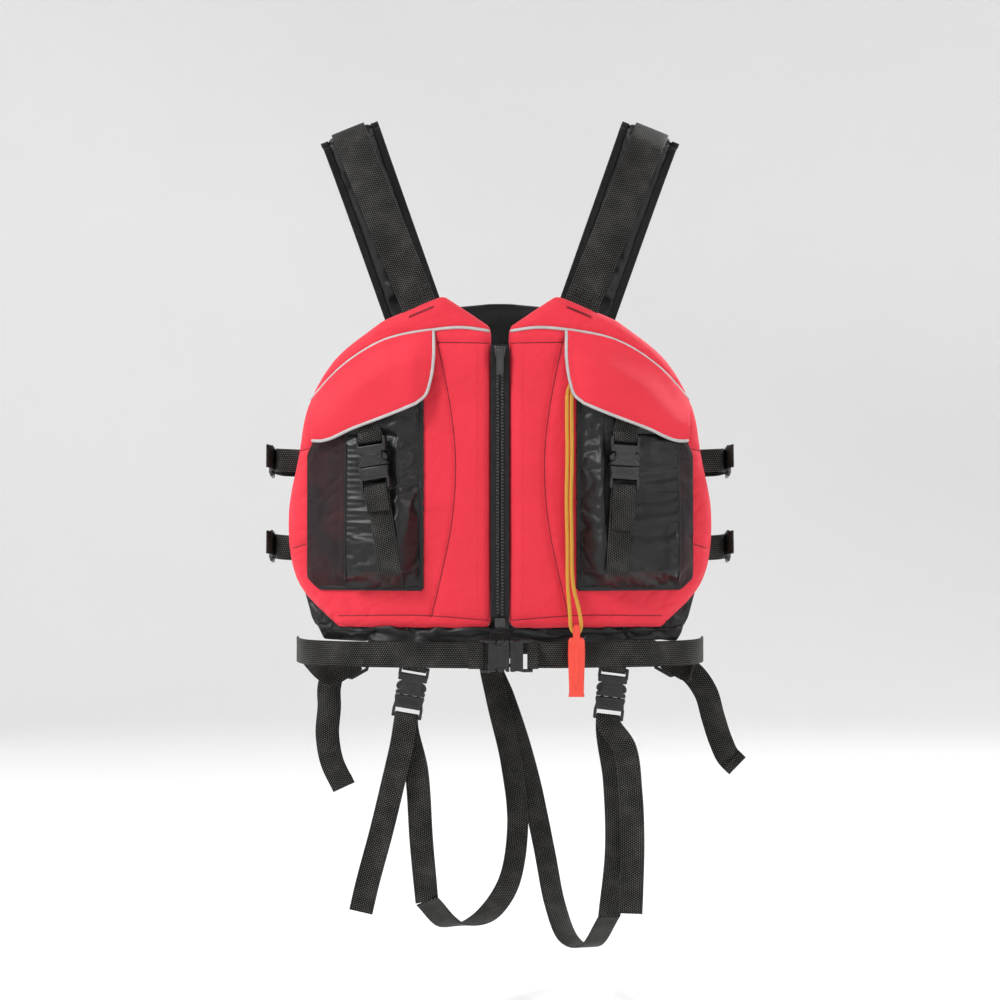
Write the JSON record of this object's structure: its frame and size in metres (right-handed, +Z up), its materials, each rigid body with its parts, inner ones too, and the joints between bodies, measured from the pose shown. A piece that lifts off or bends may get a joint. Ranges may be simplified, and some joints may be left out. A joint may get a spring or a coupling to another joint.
{
  "type": "life jacket",
  "caption": "Red and black buoyancy vest with a front zip, flap pockets, adjustable shoulder, side, waist and thigh straps with clip buckles, and a whistle.",
  "frame": {"origin": "midway between the undersides of the two shoulder strap tops, where the jacket rests on the wearer or hangs", "axes": "+Z up, -Y out of the front, +X to the viewer's right when the front is seen"},
  "size_m": [0.5316, 0.2586, 0.9021],
  "materials": {
    "red_fabric": "woven polyester, faint sheen",
    "foam": "closed-cell foam, matte",
    "black_nylon": "coated nylon, glossy and wrinkled",
    "black_mesh": "open knitted mesh",
    "eyelet": "black lacquered brass",
    "reflective_piping": "reflective grey piping",
    "binding": "ribbed woven tape",
    "zip_plastic": "moulded acetal, satin",
    "hook_and_loop": "brushed loop",
    "thread": "stitched thread",
    "buckle_plastic": "moulded acetal, satin",
    "webbing": "woven polypropylene webbing",
    "whistle_orange": "smooth bright plastic",
    "lanyard_yellow": "braided cord"
  },
  "bodies": {
    "jacket": {"back_cover": "red_fabric", "back_foam": "foam", "back_lining": "black_nylon", "bar_tacks": "thread", "belt_socket": "buckle_plastic", "belt_webs": "webbing", "front_foams": "foam", "front_left_cover": "red_fabric", "front_linings": "black_nylon", "front_right_cover": "red_fabric", "hem_bands": "black_nylon", "hem_eyelets": "eyelet", "left_pocket": "black_nylon", "left_pocket_socket": "buckle_plastic", "left_thigh_socket": "buckle_plastic", "pad_bindings": "binding", "pad_keepers": "binding", "pocket_loops": "hook_and_loop", "pocket_meshes": "black_mesh", "pocket_webs": "webbing", "right_pocket": "black_nylon", "right_pocket_socket": "buckle_plastic", "right_thigh_socket": "buckle_plastic", "shoulder_anchors": "webbing", "shoulder_pads": "black_nylon", "shoulder_webs": "webbing", "side_webs": "webbing", "thigh_webs": "webbing", "yoke_pipings": "reflective_piping", "zip_box": "zip_plastic", "zip_tapes": "binding", "zip_teeth": "zip_plastic"},
    "zip_slider": {"zip_slider": "zip_plastic"},
    "zip_pull": {"zip_pull": "zip_plastic"},
    "left_flap": {"left_flap": "red_fabric", "left_flap_piping": "reflective_piping", "left_flap_hook": "hook_and_loop"},
    "right_flap": {"right_flap": "red_fabric", "right_flap_piping": "reflective_piping", "right_flap_hook": "hook_and_loop"},
    "left_pocket_plug": {"left_pocket_plug": "buckle_plastic", "left_pocket_prongs": "buckle_plastic"},
    "right_pocket_plug": {"right_pocket_plug": "buckle_plastic", "right_pocket_prongs": "buckle_plastic"},
    "left_thigh_plug": {"left_thigh_plug": "buckle_plastic", "left_thigh_prongs": "buckle_plastic"},
    "right_thigh_plug": {"right_thigh_plug": "buckle_plastic", "right_thigh_prongs": "buckle_plastic"},
    "belt_plug": {"belt_plug": "buckle_plastic", "belt_prongs": "buckle_plastic"},
    "left_shoulder_lock": {"left_shoulder_lock": "buckle_plastic"},
    "left_upper_side_lock": {"left_upper_side_lock": "buckle_plastic"},
    "left_lower_side_lock": {"left_lower_side_lock": "buckle_plastic"},
    "left_belt_lock": {"left_belt_lock": "buckle_plastic"},
    "right_shoulder_lock": {"right_shoulder_lock": "buckle_plastic"},
    "right_upper_side_lock": {"right_upper_side_lock": "buckle_plastic"},
    "right_lower_side_lock": {"right_lower_side_lock": "buckle_plastic"},
    "right_belt_lock": {"right_belt_lock": "buckle_plastic"},
    "lanyard": {"lanyard": "lanyard_yellow"},
    "whistle": {"whistle": "whistle_orange"}
  },
  "joints": [
    {"name": "zip_slide", "type": "slide", "parent": "jacket", "child": "zip_slider", "axis": [0, 0, -1], "range_m": [0, 0.262]},
    {"name": "zip_pull_swing", "type": "hinge", "parent": "zip_slider", "child": "zip_pull", "pos_m": [0, -0.1142, -0.238], "axis": [-1, 0, 0], "range_deg": [0, 165]},
    {"name": "left_flap_lift", "type": "hinge", "parent": "jacket", "child": "left_flap", "pos_m": [-0.1365, -0.10313, -0.253], "axis": [-0.851, 0.2273, -0.4735], "range_deg": [0, 110]},
    {"name": "right_flap_lift", "type": "hinge", "parent": "jacket", "child": "right_flap", "pos_m": [0.1365, -0.10313, -0.253], "axis": [-0.851, -0.2273, 0.4735], "range_deg": [0, 110]},
    {"name": "left_pocket_release", "type": "slide", "parent": "jacket", "child": "left_pocket_plug", "axis": [0.1172, -0.1464, -0.9823], "range_m": [0, 0.026], "deforming": ["pocket_webs", "left_pocket_prongs"]},
    {"name": "right_pocket_release", "type": "slide", "parent": "jacket", "child": "right_pocket_plug", "axis": [-0.0314, -0.146, -0.9888], "range_m": [0, 0.026], "deforming": ["pocket_webs", "right_pocket_prongs"]},
    {"name": "left_thigh_release", "type": "slide", "parent": "jacket", "child": "left_thigh_plug", "axis": [-0.1676, 0, -0.9859], "range_m": [0, 0.04], "deforming": ["thigh_webs", "left_thigh_prongs"]},
    {"name": "right_thigh_release", "type": "slide", "parent": "jacket", "child": "right_thigh_plug", "axis": [-0.1191, 0, -0.9929], "range_m": [0, 0.04], "deforming": ["thigh_webs", "right_thigh_prongs"]},
    {"name": "belt_release", "type": "slide", "parent": "jacket", "child": "belt_plug", "axis": [1, 0, 0], "range_m": [0, 0.03], "deforming": ["belt_webs", "belt_prongs"]},
    {"name": "left_shoulder_lock_tilt", "type": "hinge", "parent": "jacket", "child": "left_shoulder_lock", "pos_m": [-0.09842, 0.09422, -0.15735], "axis": [-0.9272, 0, -0.3746], "range_deg": [0, 50], "deforming": ["shoulder_webs", "shoulder_anchors"]},
    {"name": "left_upper_side_lock_tilt", "type": "hinge", "parent": "jacket", "child": "left_upper_side_lock", "pos_m": [-0.25, 0.01567, -0.3534], "axis": [0, -0.1191, -0.9929], "range_deg": [0, 50], "deforming": ["side_webs"]},
    {"name": "left_lower_side_lock_tilt", "type": "hinge", "parent": "jacket", "child": "left_lower_side_lock", "pos_m": [-0.25, 0.01567, -0.4464], "axis": [0, -0.1191, -0.9929], "range_deg": [0, 50], "deforming": ["side_webs"]},
    {"name": "left_belt_lock_tilt", "type": "hinge", "parent": "jacket", "child": "left_belt_lock", "pos_m": [-0.15816, 0.10644, -0.57259], "axis": [0.4485, 0.1121, -0.8867], "range_deg": [0, 50], "deforming": ["belt_webs"]},
    {"name": "right_shoulder_lock_tilt", "type": "hinge", "parent": "jacket", "child": "right_shoulder_lock", "pos_m": [0.09842, 0.09422, -0.15735], "axis": [-0.9272, 0, 0.3746], "range_deg": [0, 50], "deforming": ["shoulder_webs", "shoulder_anchors"]},
    {"name": "right_upper_side_lock_tilt", "type": "hinge", "parent": "jacket", "child": "right_upper_side_lock", "pos_m": [0.25, 0.01567, -0.3534], "axis": [0, 0.1191, 0.9929], "range_deg": [0, 50], "deforming": ["side_webs"]},
    {"name": "right_lower_side_lock_tilt", "type": "hinge", "parent": "jacket", "child": "right_lower_side_lock", "pos_m": [0.25, 0.01567, -0.4464], "axis": [0, 0.1191, 0.9929], "range_deg": [0, 50], "deforming": ["side_webs"]},
    {"name": "right_belt_lock_tilt", "type": "hinge", "parent": "jacket", "child": "right_belt_lock", "pos_m": [0.18316, 0.09845, -0.56959], "axis": [0.4485, -0.1121, 0.8867], "range_deg": [0, 50], "deforming": ["belt_webs"]},
    {"name": "lanyard_lift", "type": "hinge", "parent": "jacket", "child": "lanyard", "pos_m": [0.073, -0.1125, -0.284], "axis": [-1, 0, 0], "range_deg": [0, 60]},
    {"name": "whistle_swing", "type": "hinge", "parent": "lanyard", "child": "whistle", "pos_m": [0.08, -0.12, -0.5277], "axis": [0, 1, 0], "range_deg": [-22, 22]}
  ]
}
